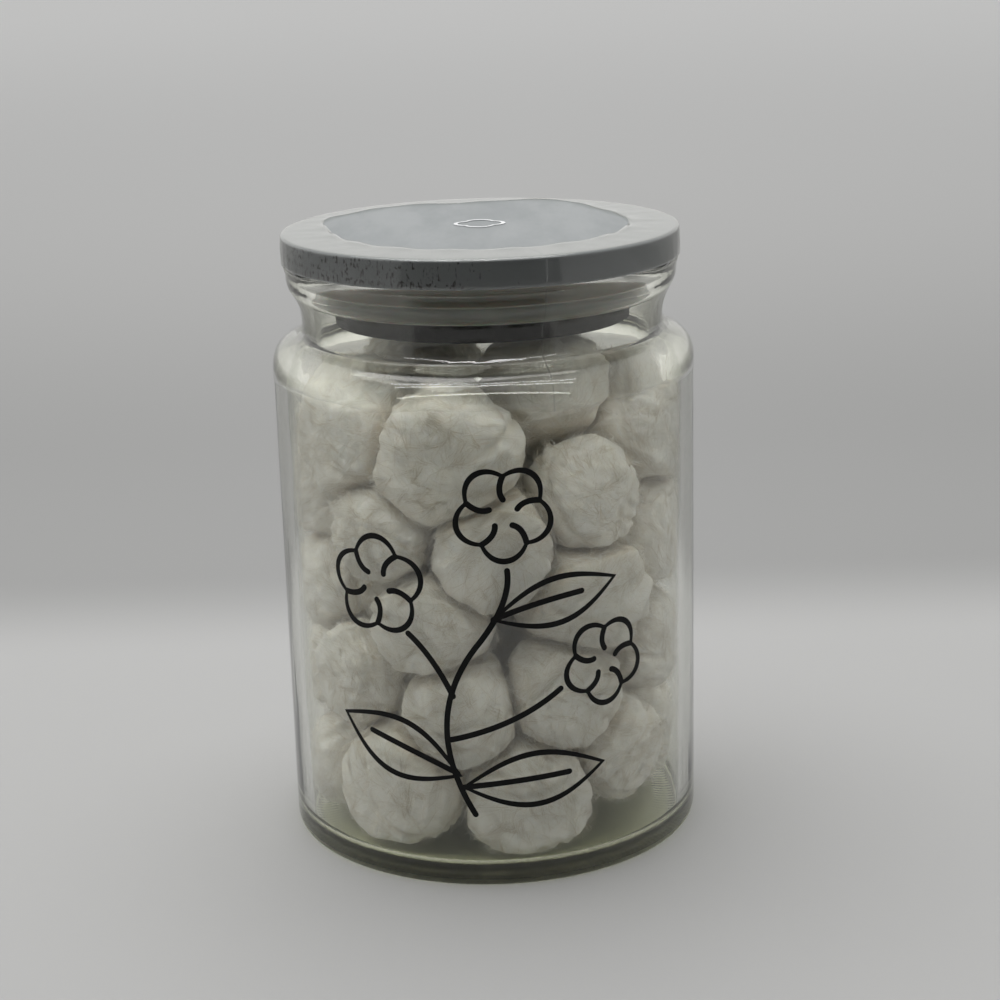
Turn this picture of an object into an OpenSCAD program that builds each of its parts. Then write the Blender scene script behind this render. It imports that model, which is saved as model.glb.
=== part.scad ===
// Apothecary jar: a round glass jar with a wooden stopper lid, a clear shrink band,
// a stuck-on line drawing of a cotton sprig, and a filling of cotton balls.
// The origin is the middle of the base on the table, +Z is up, and the drawing faces -Y.

/* [Glass jar] */
// Outer radius of the round body.
body_r = 52; // [52:0.5:58]
// Thickness of the glass wall.
wall = 3.5; // [3:0.1:4]
// Height of the jar alone, up to the rim.
jar_h = 144.6; // [144.6:0.1:165]
// Outer radius of the neck.
neck_r = 44.2; // [44:0.1:45]
// Thickness of the glass in the middle of the base.
base_t = 5; // [4:0.1:5.5]
// How far the middle of the base is raised off the table.
punt = 1.5; // [1:0.1:2]

/* [Lid] */
// Radius of the wooden lid board.
lid_r = 48.6; // [48:0.1:51]
// Thickness of the wooden lid board.
lid_t = 7; // [5:0.1:12]
// Radius of the stopper under the lid board.
plug_r = 36; // [35:0.1:37.5]
// How far the stopper hangs below the lid board.
plug_h = 14.5; // [13:0.1:15.5]

/* [Shrink band] */
// Thickness of the clear film.
film_t = 0.12; // [0.1:0.01:0.2]
// Gap between the film and what it is shrunk on to.
film_gap = 0.1; // [0.08:0.01:0.15]

/* [Drawing] */
// Width of the line the sprig is drawn with.
line_w = 1.4; // [1.2:0.1:1.8]
// Thickness of the stuck-on film the sprig is cut from.
ink_t = 0.12; // [0.1:0.01:0.2]

/* [Cotton] */
// Size of the cotton balls against their usual size.
ball_scale = 1; // [0.8:0.01:1]

/* [Hidden] */
in_r = body_r - wall;
neck_in = neck_r - 3;
shoulder_z = jar_h - 18.6;
lid_z = jar_h + 0.05;
plug_z = lid_z - plug_h;
seal_z = jar_h - 8.2;
groove_r = plug_r - 1.5;
step = 0.05;

// A quarter round between two angles, as points in the turning plane.
function arc(x, z, r, from, to, n = 8) =
    [for (i = [0:n]) let (a = from + (to - from) * i / n) [x + r * cos(a), z + r * sin(a)]];

// ---- glass jar ----
module jar_outside() {
    polygon(concat(
        [[0, punt], [body_r - 14, punt], [body_r - 10, 0]],
        arc(body_r - 4, 4, 4, -90, 0),
        arc(body_r - 6, shoulder_z - 6.6, 6, 0, 78),
        [[neck_r + 0.6, shoulder_z], [neck_r, shoulder_z + 0.8]],
        [[neck_r, jar_h - 8.9], [neck_r + 0.7, jar_h - 8.3]],
        arc(neck_r - 0.2, jar_h - 4.2, 3.6, -70, 70),
        [[neck_r - 0.6, jar_h], [0, jar_h]]));
}

module jar_inside() {
    polygon(concat(
        [[0, base_t]],
        arc(in_r - 4, base_t + 4.4, 4, -90, 0),
        arc(in_r - 5, shoulder_z - 8.4, 5, 0, 60),
        [[neck_in + 0.5, shoulder_z - 3], [neck_in, shoulder_z - 2]],
        [[neck_in, jar_h - 1], [neck_in + 1, jar_h + 1], [0, jar_h + 1]]));
}

module glass_jar() {
    color([0.8, 0.85, 0.8])
    rotate_extrude()
    difference() {
        jar_outside();
        jar_inside();
    }
}

// ---- wooden lid ----
module lid_board() {
    color([0.55, 0.57, 0.58])
    translate([0, 0, lid_z])
    rotate_extrude()
    polygon([
        [0, 0], [lid_r - 0.6, 0], [lid_r, 0.6], [lid_r, lid_t - 0.7],
        [lid_r - 0.7, lid_t], [0, lid_t]]);
}

module lid_plug() {
    color([0.5, 0.52, 0.53])
    rotate_extrude()
    polygon([
        [0, plug_z], [plug_r - 0.6, plug_z], [plug_r, plug_z + 0.6],
        [plug_r, seal_z - 0.1], [groove_r, seal_z - 0.1],
        [groove_r, seal_z + 6.5], [plug_r, seal_z + 6.5],
        [plug_r, lid_z], [0, lid_z]]);
}

// One lip of the seal as points going up its slope.
function lip(z) = [[groove_r + 3, z], [neck_in - 0.1, z + 0.5], [neck_in - 0.1, z + 0.8],
    [groove_r + 3, z + 1.1]];

module seal_ring() {
    color([0.75, 0.77, 0.75])
    rotate_extrude()
    polygon(concat(
        [[groove_r + 0.05, seal_z], [groove_r + 3, seal_z]],
        lip(seal_z + 0.5),
        lip(seal_z + 2.7),
        lip(seal_z + 4.9),
        [[groove_r + 3, seal_z + 6.4], [groove_r + 0.05, seal_z + 6.4]]));
}

// ---- shrink band ----
film_steps = [36, 36, 37, 41, 45, 45, 41.5, 43, 43.5, 43, 43, 41, 38, 37, 36, 37, 36, 36, 35.5, 35.5,
    35.5, 35.5, 36, 36];

// How far out the film's opening reaches at an angle.
function film_edge(a) =
    let (
        k = a / 15,
        i = floor(k),
        t = (1 - cos((k - i) * 180)) / 2)
    film_steps[i % 24] * (1 - t) + film_steps[(i + 1) % 24] * t;

module lid_film() {
    top = lid_z + lid_t + film_gap;
    rim = lid_r + film_gap;
    color([0.85, 0.87, 0.88])
    difference() {
        rotate_extrude()
        polygon([
            [30, top], [rim - 0.7, top], [rim, top - 0.8], [rim, lid_z + 0.1],
            [rim + film_t, lid_z + 0.1], [rim + film_t, top - 0.7],
            [rim - 0.6, top + film_t], [30, top + film_t]]);
        translate([0, 0, top - 1])
        linear_extrude(3)
        polygon([for (a = [0:5:355]) film_edge(a) * [cos(a), sin(a)]]);
    }
}

// The line the film follows down the neck, as points going down.
function neck_line(out) = concat(
    [[neck_r + 4.1 + out, jar_h - 0.35], [neck_r + 3.5 + out, jar_h - 2.4]],
    [[neck_r + 3.4 + out, jar_h - 5.4], [neck_r + 0.9 + out, jar_h - 9.6]],
    [[neck_r + out, jar_h - 11.5], [neck_r + out, shoulder_z + 2.6]],
    [[neck_r + 2.1 + out * 0.6, shoulder_z + out * 0.8]],
    [for (p = [0:6]) arc(body_r - 6, shoulder_z - 6.6, 6 + out, 72, 0, 6)[p]],
    [[body_r + out, shoulder_z - 9]]);

function reversed(list) = [for (i = [len(list) - 1:-1:0]) list[i]];

module neck_film() {
    color([0.85, 0.87, 0.88])
    rotate_extrude()
    polygon(concat(neck_line(film_gap), reversed(neck_line(film_gap + film_t))));
}

// ---- lines ----
// The direction of a run of points at one of them.
function run_dir(p, i) =
    let (d = p[min(i + 1, len(p) - 1)] - p[max(i - 1, 0)])
    d / norm(d);

// The outline of a line of even width through points, with round ends.
function stroke(p, w) =
    let (
        n = len(p) - 1,
        a = run_dir(p, 0),
        b = run_dir(p, n),
        start = atan2(a[1], a[0]),
        end = atan2(b[1], b[0]))
    concat(
        [for (i = [0:n]) let (d = run_dir(p, i)) p[i] + w / 2 * [d[1], -d[0]]],
        [for (t = [-60:30:60]) p[n] + w / 2 * [cos(end + t), sin(end + t)]],
        [for (i = [n:-1:0]) let (d = run_dir(p, i)) p[i] - w / 2 * [d[1], -d[0]]],
        [for (t = [120:30:240]) p[0] + w / 2 * [cos(start + t), sin(start + t)]]);

// A bent line from one point to another by way of a third.
function bend(a, m, b, n = 16) =
    [for (i = [0:n]) let (t = i / n) a * (1 - t) * (1 - t) + m * 2 * t * (1 - t) + b * t * t];

// A scalloped ring with round lobes.
function lobes(mid, r, count, turn) =
    [for (i = [0:119])
        let (
            a = i * 3,
            out = r * (0.78 + 0.22 * abs(sin(count * a / 2))))
        mid + out * [cos(a + turn), sin(a + turn)]];

// A leaf outline from its foot to its tip.
function leaf(foot, tip, width, grow) =
    let (
        d = tip - foot,
        long = norm(d),
        u = d / long,
        v = [-u[1], u[0]],
        n = 20)
    concat(
        [for (i = [0:n]) let (t = i / n)
            foot - u * grow + u * (long + 2 * grow) * t + v * (width / 2 + grow) * sin(180 * t)],
        [for (i = [n - 1:-1:1]) let (t = i / n)
            foot - u * grow + u * (long + 2 * grow) * t - v * (width / 2 + grow) * sin(180 * t)]);

// A flat outline wrapped to the round face of the jar, seen from the front.
function wrapped(p) = [for (q = p) [body_r * sin(q[0] / body_r * 180 / PI), q[1]]];

// Everything drawn flat is cut from a thin sleeve just off the glass.
module on_glass() {
    intersection() {
        translate([0, 0, 12])
        difference() {
            cylinder(h = 98, r = body_r + step + ink_t);
            translate([0, 0, -1])
            cylinder(h = 100, r = body_r + step);
        }
        union()
        children();
    }
}

// A flat outline pushed through the front half of the jar.
module through_front() {
    rotate([90, 0, 0])
    linear_extrude(body_r + 2)
    children();
}

module one_stroke(p) {
    through_front()
    polygon(wrapped(stroke(p, line_w)));
}

module one_leaf(foot, tip, width) {
    through_front()
    polygon(
        concat(
            wrapped(leaf(foot, tip, width, line_w / 2)),
            wrapped(leaf(foot, tip, width, -line_w / 2))),
        [[for (i = [0:39]) i], [for (i = [40:79]) i]]);
}

// ---- cotton sprig drawing ----
module sprig_stem() {
    color([0.02, 0.02, 0.02])
    on_glass() {
        one_stroke(bend([-5, 19], [-18, 42], [-4, 61], 24));
        one_stroke(bend([-4, 61], [5, 72], [4, 79.8], 16));
        one_stroke(bend([-10.4, 38], [6, 42], [16.2, 49.6], 16));
        one_stroke(bend([-9.5, 49], [-14, 59], [-20, 64], 16));
        one_leaf([-8.5, 29], [-39, 41], 14);
        one_leaf([-7.5, 26], [27, 29], 13);
        one_leaf([0.5, 68], [31, 75], 11);
        one_stroke(bend([-9, 29.5], [-20, 35], [-31, 38], 12));
        one_stroke(bend([-7.5, 26], [4, 27.5], [18, 28.2], 12));
        one_stroke(bend([0.5, 68], [10, 72], [22, 73], 12));
    }
}

module boll(mid, r, turn) {
    color([0.02, 0.02, 0.02])
    on_glass() {
        through_front()
        polygon(
            concat(
                wrapped(lobes(mid, r + line_w / 2, 5, turn)),
                wrapped(lobes(mid, r - line_w / 2, 5, turn))),
            [[for (i = [0:119]) i], [for (i = [120:239]) i]]);
        for (a = [0:72:288])
            one_stroke(bend(
                mid + r * 0.78 * [cos(a + turn), sin(a + turn)],
                mid + r * 0.5 * [cos(a + turn + 16), sin(a + turn + 16)],
                mid + r * 0.3 * [cos(a + turn), sin(a + turn)],
                8));
    }
}

module sprig_boll_1() {
    boll([3.5, 93.5], 11.4, 90);
}

module sprig_boll_2() {
    boll([-28, 75], 12, 126);
}

module sprig_boll_3() {
    boll([28, 54.5], 10.6, 18);
}

// ---- small mark on the lid ----
module lid_mark() {
    color([0.95, 0.95, 0.95])
    translate([0, 0, lid_z + lid_t + step])
    linear_extrude(0.1)
    polygon(
        concat(
            lobes([0, 4], 6.4, 4, 45),
            lobes([0, 4], 5.4, 4, 45)),
        [[for (i = [0:119]) i], [for (i = [120:239]) i]]);
}

// ---- cotton balls ----
// Where each ball starts: angle round the jar from the front, height, radius, distance off the axis.
// A distance of 99 means against the glass.
seeds = [
    [54, 112, 12, 21], [-12, 98, 12.5, 99], [-54, 107, 12, 99], [-90, 90, 12.5, 99],
    [-1, 79, 12.5, 99], [-76, 65, 12.5, 99], [-38, 84, 10, 99], [33, 67, 12.5, 99],
    [36, 91, 12, 99], [76, 104, 12, 99], [70, 78, 12, 99], [-58, 50, 11, 99],
    [-16, 38, 11.5, 99], [22, 44, 12, 99], [46, 26, 11, 99], [-30, 20, 14.5, 99],
    [-76, 17, 12, 99], [13, 17, 13, 99], [70, 50, 12, 99], [-16, 60, 11, 99],
    [-92, 38, 12.5, 99], [100, 20, 13, 99], [146, 18, 13, 99], [192, 20, 13, 99],
    [238, 18, 13, 99], [118, 46, 13, 99], [168, 44, 13, 99], [220, 46, 13, 99],
    [112, 72, 13, 99], [156, 70, 13, 99], [200, 72, 13, 99], [244, 70, 13, 99],
    [114, 98, 13, 99], [160, 96, 13, 99], [206, 98, 13, 99], [240, 98, 12, 99],
    [200, 20, 12, 5], [30, 44, 12.5, 5], [210, 70, 12.5, 5], [250, 95, 12, 6],
    [236, 114, 10.5, 20]];

ball_r = [for (s = seeds) s[2] * ball_scale];
head_z = shoulder_z - 0.9;

// A ball held inside the glass: off the floor, inside the wall and under the shoulder.
function kept_in(p, r) =
    let (
        z = min(max(p[2], base_t + r + 0.2), head_z - r),
        room = min(in_r - 0.2 - r, in_r + shoulder_z - 11 - 1.414 * r - z),
        off = norm([p[0], p[1]]),
        k = off > room ? room / off : 1)
    [p[0] * k, p[1] * k, z];

function total(list) = [for (v = list) 1] * list;

function push(i, p) = total(concat([[0, 0, 0]], [
    for (j = [0:len(p) - 1])
        let (
            d = p[i] - p[j],
            l = norm(d),
            over = ball_r[i] + ball_r[j] - l)
        if (j != i && over > 0) d / l * over * 0.5]));

function settled(p, n) = n == 0 ? p
    : settled([for (i = [0:len(p) - 1]) kept_in(p[i] + push(i, p), ball_r[i])], n - 1);

ball_at = settled([
    for (s = seeds)
        let (off = s[3] == 99 ? in_r - s[2] : s[3])
        [off * sin(s[0]), -off * cos(s[0]), s[1]]], 60);

module cotton_ball(n) {
    color([0.93, 0.93, 0.9])
    translate(ball_at[n - 1])
    sphere(r = ball_r[n - 1] - 0.2);
}

glass_jar();
lid_board();
lid_plug();
seal_ring();
lid_film();
neck_film();
lid_mark();
sprig_stem();
sprig_boll_1();
sprig_boll_2();
sprig_boll_3();
cotton_ball(1);  // cotton_ball_01
cotton_ball(2);  // cotton_ball_02
cotton_ball(3);  // cotton_ball_03
cotton_ball(4);  // cotton_ball_04
cotton_ball(5);  // cotton_ball_05
cotton_ball(6);  // cotton_ball_06
cotton_ball(7);  // cotton_ball_07
cotton_ball(8);  // cotton_ball_08
cotton_ball(9);  // cotton_ball_09
cotton_ball(10);  // cotton_ball_10
cotton_ball(11);  // cotton_ball_11
cotton_ball(12);  // cotton_ball_12
cotton_ball(13);  // cotton_ball_13
cotton_ball(14);  // cotton_ball_14
cotton_ball(15);  // cotton_ball_15
cotton_ball(16);  // cotton_ball_16
cotton_ball(17);  // cotton_ball_17
cotton_ball(18);  // cotton_ball_18
cotton_ball(19);  // cotton_ball_19
cotton_ball(20);  // cotton_ball_20
cotton_ball(21);  // cotton_ball_21
cotton_ball(22);  // cotton_ball_22
cotton_ball(23);  // cotton_ball_23
cotton_ball(24);  // cotton_ball_24
cotton_ball(25);  // cotton_ball_25
cotton_ball(26);  // cotton_ball_26
cotton_ball(27);  // cotton_ball_27
cotton_ball(28);  // cotton_ball_28
cotton_ball(29);  // cotton_ball_29
cotton_ball(30);  // cotton_ball_30
cotton_ball(31);  // cotton_ball_31
cotton_ball(32);  // cotton_ball_32
cotton_ball(33);  // cotton_ball_33
cotton_ball(34);  // cotton_ball_34
cotton_ball(35);  // cotton_ball_35
cotton_ball(36);  // cotton_ball_36
cotton_ball(37);  // cotton_ball_37
cotton_ball(38);  // cotton_ball_38
cotton_ball(39);  // cotton_ball_39
cotton_ball(40);  // cotton_ball_40
cotton_ball(41);  // cotton_ball_41
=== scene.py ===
"""Apothecary jar of clear glass with a painted wooden stopper lid, a shrink band and cotton balls."""

import logging
import math
from collections.abc import Callable, Sequence
from dataclasses import dataclass, field
from enum import Enum

import bmesh
import bpy
import numpy as np
from mathutils import Matrix, Vector


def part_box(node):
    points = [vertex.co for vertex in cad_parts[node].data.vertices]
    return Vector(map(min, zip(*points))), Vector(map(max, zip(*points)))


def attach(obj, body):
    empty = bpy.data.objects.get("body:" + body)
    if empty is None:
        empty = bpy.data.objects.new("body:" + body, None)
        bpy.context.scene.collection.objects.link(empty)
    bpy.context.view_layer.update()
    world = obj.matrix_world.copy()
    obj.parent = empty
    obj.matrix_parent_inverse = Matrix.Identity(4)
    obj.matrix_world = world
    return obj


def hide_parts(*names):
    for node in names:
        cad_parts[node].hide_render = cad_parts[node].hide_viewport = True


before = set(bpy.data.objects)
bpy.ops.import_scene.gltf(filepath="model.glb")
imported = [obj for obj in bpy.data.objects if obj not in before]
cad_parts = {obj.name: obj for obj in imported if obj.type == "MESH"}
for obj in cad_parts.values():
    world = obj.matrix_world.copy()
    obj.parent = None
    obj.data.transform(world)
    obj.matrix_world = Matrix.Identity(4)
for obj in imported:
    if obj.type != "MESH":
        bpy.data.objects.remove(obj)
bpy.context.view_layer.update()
LOG = logging.getLogger("apothecary_jar")
MM = 0.001
TURN_STEPS = 256

Colour = tuple[float, float, float]
Place = tuple[float, float, float]
Wire = bpy.types.NodeSocket
VECTOR, FLOAT = "NodeSocketVector", "NodeSocketFloat"


class Body(Enum):
    """The moving bodies that pieces ride on."""

    JAR = "jar"
    SEAL = "seal"
    LID = "lid"


class Slot(Enum):
    """The material slots of the part's record."""

    GLASS = "glass"
    LID_PAINT = "lid_paint"
    SEAL = "seal"
    FILM = "film"
    MARK = "mark"
    INK = "ink"
    COTTON = "cotton"


# ---- node helpers


@dataclass
class Graph:
    """A short way to add and link the nodes of one tree.

    Args:
        tree: the node tree that is being filled.
    """

    tree: bpy.types.NodeTree

    def add(self, kind: str, values: dict | None = None, **settings: object) -> bpy.types.Node:
        """Adds a node.

        Args:
            kind: the node's class name.
            values: input name or index to a number, a colour or an output to link.
            settings: properties of the node itself.

        Returns:
            The new node.
        """
        node = self.tree.nodes.new(kind)
        for name, value in settings.items():
            setattr(node, name, value)
        for key, value in (values or {}).items():
            self.put(node.inputs[key], value)
        return node

    def put(self, socket: Wire, value: object) -> None:
        """Links an output to an input, or sets the input's own value."""
        if isinstance(value, Wire):
            self.tree.links.new(value, socket)
        elif isinstance(value, tuple) and len(value) == 3 and socket.type == "RGBA":
            socket.default_value = (*value, 1.0)
        else:
            socket.default_value = value

    def maths(self, operation: str, a: object, b: object = 0.0, clamp: bool = False) -> Wire:
        """Returns the output of a Math node on a and b."""
        return self.add("ShaderNodeMath", {0: a, 1: b}, operation=operation, use_clamp=clamp).outputs[0]

    def noise(self, at: object, scale: object, detail: float = 2.0, rough: float = 0.5) -> Wire:
        """Returns the value of a Noise Texture read at a vector."""
        node = self.add(
            "ShaderNodeTexNoise",
            {"Vector": at, "Scale": scale, "Detail": detail, "Roughness": rough},
        )
        return node.outputs["Fac"]

    def span(
        self, value: object, low: float, high: float, to_low: float = 0.0, to_high: float = 1.0
    ) -> Wire:
        """Returns value taken smoothly from one range to another."""
        node = self.add(
            "ShaderNodeMapRange",
            {"Value": value, "From Min": low, "From Max": high, "To Min": to_low, "To Max": to_high},
            interpolation_type="SMOOTHSTEP",
        )
        return node.outputs["Result"]

    def blend(self, share: object, a: object, b: object) -> Wire:
        """Returns colour a turning to colour b as share goes from 0 to 1."""
        node = self.add("ShaderNodeMix", {0: share}, data_type="RGBA")
        self.put(node.inputs[6], a)
        self.put(node.inputs[7], b)
        return node.outputs[2]

    def stretched(self, at: object, by: Place) -> Wire:
        """Returns a vector scaled by its own factor along each axis."""
        return self.add("ShaderNodeMapping", {"Vector": at, "Scale": by}, vector_type="POINT").outputs[0]

    def axes(self, at: object) -> bpy.types.bpy_prop_collection:
        """Returns the three numbers of a vector."""
        return self.add("ShaderNodeSeparateXYZ", {0: at}).outputs

    def bump(self, strength: float, distance: float, height: object) -> Wire:
        """Returns a normal bent by a height, with the distance in metres."""
        values = {"Strength": strength, "Distance": distance, "Height": height}
        return self.add("ShaderNodeBump", values).outputs[0]

    def coat(self, values: dict) -> Wire:
        """Returns a Principled shader with the given inputs."""
        return self.add("ShaderNodeBsdfPrincipled", values).outputs[0]

    def around(self, at: object, radius: float) -> tuple[Wire, Wire]:
        """Unrolls the round jar: returns the vector (length round the axis, 0, height) and the height.

        Args:
            at: the place on the surface in metres.
            radius: the radius that the surface is unrolled at, in metres.

        Returns:
            The unrolled vector and the plain height.
        """
        parts = self.axes(at)
        angle = self.maths("ARCTAN2", parts[0], self.maths("MULTIPLY", parts[1], -1.0))
        length = self.maths("MULTIPLY", angle, radius)
        joined = self.add("ShaderNodeCombineXYZ", {0: length, 2: parts[2]})
        return joined.outputs[0], parts[2]


def new_group(
    name: str, inputs: Sequence[tuple[str, str, float]], outputs: Sequence[tuple[str, str]]
) -> tuple[bpy.types.NodeTree, Graph, dict, dict]:
    """Starts a shader node group with named sockets.

    Args:
        name: the group's name.
        inputs: name, socket type and default of each input.
        outputs: name and socket type of each output.

    Returns:
        The group, a graph on it, its input sockets by name and its output sockets by name.
    """
    group = bpy.data.node_groups.new(name, "ShaderNodeTree")
    for label, kind, default in inputs:
        socket = group.interface.new_socket(label, in_out="INPUT", socket_type=kind)
        if kind == FLOAT:
            socket.default_value = default
    for label, kind in outputs:
        group.interface.new_socket(label, in_out="OUTPUT", socket_type=kind)
    graph = Graph(group)
    into = {s.name: s for s in graph.add("NodeGroupInput").outputs if s.name}
    out = {s.name: s for s in graph.add("NodeGroupOutput").inputs if s.name}
    return group, graph, into, out


def streaks_group() -> bpy.types.NodeTree:
    """Fine streaks that run along one direction, for fibres, brush marks and grain."""
    group, g, into, out = new_group(
        "streaks",
        (("At", VECTOR, 0.0), ("Scale", FLOAT, 1.0), ("Twist", FLOAT, 0.5)),
        (("Fine", FLOAT), ("Broad", FLOAT)),
    )
    bend = g.add("ShaderNodeTexNoise", {"Vector": into["At"], "Scale": 0.35, "Detail": 2.0})
    sway = {0: bend.outputs["Color"], "Scale": into["Twist"]}
    shift = g.add("ShaderNodeVectorMath", sway, operation="SCALE")
    moved = g.add("ShaderNodeVectorMath", {0: into["At"], 1: shift.outputs[0]}, operation="ADD").outputs[0]
    for label, stretch, detail in (("Fine", (9.0, 9.0, 0.8), 4.0), ("Broad", (1.6, 1.6, 0.35), 3.0)):
        g.put(out[label], g.noise(g.stretched(moved, stretch), into["Scale"], detail, 0.62))
    return group


def crinkle_group() -> bpy.types.NodeTree:
    """Small upright crinkles and long soft waves of shrunk film on a round body."""
    group, g, into, out = new_group(
        "crinkle",
        (("At", VECTOR, 0.0), ("Pitch", FLOAT, 700.0)),
        (("Height", FLOAT), ("Haze", FLOAT)),
    )
    small = g.noise(g.stretched(into["At"], (1.0, 1.0, 0.35)), into["Pitch"], 3.0, 0.6)
    wave = g.noise(g.stretched(into["At"], (1.0, 1.0, 3.0)), 60.0)
    g.put(out["Height"], g.maths("ADD", g.maths("MULTIPLY", small, 0.35), wave))
    g.put(out["Haze"], g.span(small, 0.5, 0.75))
    return group


def pores_group() -> bpy.types.NodeTree:
    """Dark open pores of wood under paint: short upright pits, thick in places and absent in others."""
    group, g, into, out = new_group(
        "pores",
        (("At", VECTOR, 0.0), ("Amount", FLOAT, 0.5)),
        (("Pit", FLOAT),),
    )
    long = g.noise(g.stretched(into["At"], (1.0, 1.0, 0.3)), 1500.0, 3.0, 0.62)
    dots = g.noise(g.stretched(into["At"], (1.0, 1.0, 0.62)), 900.0, 2.0, 0.5)
    bar = g.span(into["Amount"], 0.0, 1.0, 0.76, 0.575)
    cut = g.maths("SUBTRACT", g.maths("MAXIMUM", long, g.maths("SUBTRACT", dots, 0.015)), bar)
    g.put(out["Pit"], g.maths("MULTIPLY", cut, 28.0, clamp=True))
    return group


GROUPS: dict[str, bpy.types.NodeTree] = {}


def group_node(graph: Graph, make: Callable[[], bpy.types.NodeTree], values: dict) -> bpy.types.Node:
    """Places a shared node group in a material, building the group on first use."""
    name = make.__name__
    if name not in GROUPS:
        GROUPS[name] = make()
    node = graph.add("ShaderNodeGroup", node_tree=GROUPS[name])
    for key, value in values.items():
        graph.put(node.inputs[key], value)
    return node


def new_material(name: str) -> tuple[bpy.types.Material, Graph, bpy.types.Node]:
    """Starts a material.

    Args:
        name: the material's name.

    Returns:
        The material, a graph on its cleared tree and its output node.
    """
    material = bpy.data.materials.new(name)
    material.use_nodes = True
    material.node_tree.nodes.clear()
    graph = Graph(material.node_tree)
    return material, graph, graph.add("ShaderNodeOutputMaterial")


# ---- finishes


@dataclass(frozen=True)
class GlassFinish:
    """Clear pressed glass that is green where it is thick."""

    wall: Colour = (0.965, 0.968, 0.935)
    foot: Colour = (0.74, 0.75, 0.55)
    edge: Colour = (0.44, 0.455, 0.38)
    shade: Colour = (0.93, 0.94, 0.905)
    roughness: float = 0.008
    foot_roughness: float = 0.34

    def material(self) -> bpy.types.Material:
        """Returns the glass material."""
        material, g, out = new_material("jar_glass")
        at = g.add("ShaderNodeTexCoord").outputs["Object"]
        round_at, height = g.around(at, 0.052)
        thick = g.span(height, 0.001, 0.008, 1.0, 0.0)
        aslant = g.add("ShaderNodeLayerWeight", {"Blend": 0.5}).outputs["Facing"]
        rim = g.span(aslant, 0.42, 0.95)
        tint = g.blend(thick, g.blend(rim, self.wall, self.edge), self.foot)
        waves = g.noise(g.stretched(round_at, (1.0, 1.0, 0.16)), 110.0, 2.0)
        parts = g.axes(round_at)
        ribs = g.maths("SINE", g.maths("MULTIPLY", parts[0], 3600.0))
        knurl = g.maths("MULTIPLY", ribs, g.span(height, 0.0, 0.0016, 1.0, 0.0))
        relief = g.maths("ADD", g.maths("MULTIPLY", waves, 0.5), g.maths("MULTIPLY", knurl, 0.12))
        bump = g.bump(0.22, 0.0006, relief)
        glass = g.coat(
            {
                "Base Color": tint,
                "Roughness": g.span(height, 0.0012, 0.0032, self.foot_roughness, self.roughness),
                "IOR": 1.5, "Transmission Weight": 1.0, "Normal": bump,
            }
        )
        clear = g.add("ShaderNodeBsdfTransparent", {"Color": self.shade})
        path = g.add("ShaderNodeLightPath").outputs["Is Shadow Ray"]
        mixed = g.add("ShaderNodeMixShader", {0: path, 1: glass, 2: clear.outputs[0]})
        g.put(out.inputs["Surface"], mixed.outputs[0])
        return material


@dataclass(frozen=True)
class FilmFinish:
    """Clear shrink film with a faint grey veil, crinkles and a torn seam line."""

    name: str
    veil: float = 0.05
    colour: Colour = (0.78, 0.79, 0.78)
    crinkle: float = 0.35
    gloss: float = 0.05
    mirror: float = 0.075
    seam_at: float = 0.0144
    aslant_tint: Colour = (0.80, 0.80, 0.765)

    def material(self) -> bpy.types.Material:
        """Returns the film material."""
        material, g, out = new_material(self.name)
        at = g.add("ShaderNodeTexCoord").outputs["Object"]
        round_at, _ = g.around(at, 0.047)
        length = g.axes(round_at)[0]
        crinkle = group_node(g, crinkle_group, {"At": round_at})
        off = g.maths("ABSOLUTE", g.maths("SUBTRACT", length, self.seam_at))
        seam = g.span(off, 0.00030, 0.00008)
        relief = g.maths("ADD", crinkle.outputs["Height"], seam)
        bump = g.bump(self.crinkle, 0.0004, relief)
        aslant = g.add("ShaderNodeLayerWeight", {"Blend": 0.5, "Normal": bump}).outputs["Facing"]
        outer = g.maths("SUBTRACT", 1.0, g.add("ShaderNodeNewGeometry").outputs["Backfacing"])
        glance = g.maths("MULTIPLY", g.maths("POWER", aslant, 5.0), 1.0 - self.mirror)
        edge = g.maths("MULTIPLY", g.maths("ADD", glance, self.mirror), outer)
        polish = {"Color": (0.95, 0.95, 0.95), "Roughness": self.gloss, "Normal": bump}
        mirror = g.add("ShaderNodeBsdfAnisotropic", polish)
        dimmed = g.blend(g.span(aslant, 0.45, 0.98), (0.985, 0.985, 0.975), self.aslant_tint)
        clear = g.add("ShaderNodeBsdfTransparent", {"Color": dimmed})
        shiny = g.add("ShaderNodeMixShader", {0: edge, 1: clear.outputs[0], 2: mirror.outputs[0]})
        milk = g.add("ShaderNodeBsdfDiffuse", {"Color": self.colour, "Normal": bump})
        haze = g.maths("ADD", g.maths("MULTIPLY", crinkle.outputs["Haze"], 0.5), 0.75)
        marked = g.maths("ADD", g.maths("MULTIPLY", haze, self.veil), g.maths("MULTIPLY", seam, 0.10))
        veil = g.maths("MULTIPLY", marked, outer)
        veiled = g.add("ShaderNodeMixShader", {0: veil, 1: shiny.outputs[0], 2: milk.outputs[0]})
        path = g.add("ShaderNodeLightPath").outputs["Is Shadow Ray"]
        clear_shadow = g.add("ShaderNodeBsdfTransparent", {"Color": (0.95, 0.95, 0.95)})
        mixed = g.add("ShaderNodeMixShader", {0: path, 1: veiled.outputs[0], 2: clear_shadow.outputs[0]})
        g.put(out.inputs["Surface"], mixed.outputs[0])
        return material


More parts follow.
